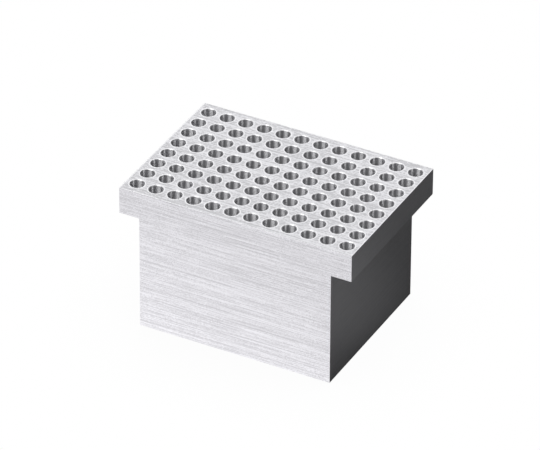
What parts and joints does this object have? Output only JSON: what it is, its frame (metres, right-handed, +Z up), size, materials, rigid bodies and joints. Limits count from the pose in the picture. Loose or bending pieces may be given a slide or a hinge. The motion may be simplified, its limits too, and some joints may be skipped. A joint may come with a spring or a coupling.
{
  "type": "dry block heater well block",
  "caption": "T-shaped block of brushed aluminium with a grid of small round tube wells in its top and an overhanging ear at each end, dropped into a dry block heater.",
  "frame": {"origin": "centre of the rectangle that encloses the block, on its underside", "axes": "+X along the long side towards the right ear, +Y towards the back face, +Z up out of the wells' mouths"},
  "size_m": [0.1096, 0.0754, 0.0668],
  "materials": {
    "machined_aluminium": "bare, brushed along its length"
  },
  "bodies": {
    "root": {"well_block": "machined_aluminium"}
  },
  "joints": []
}
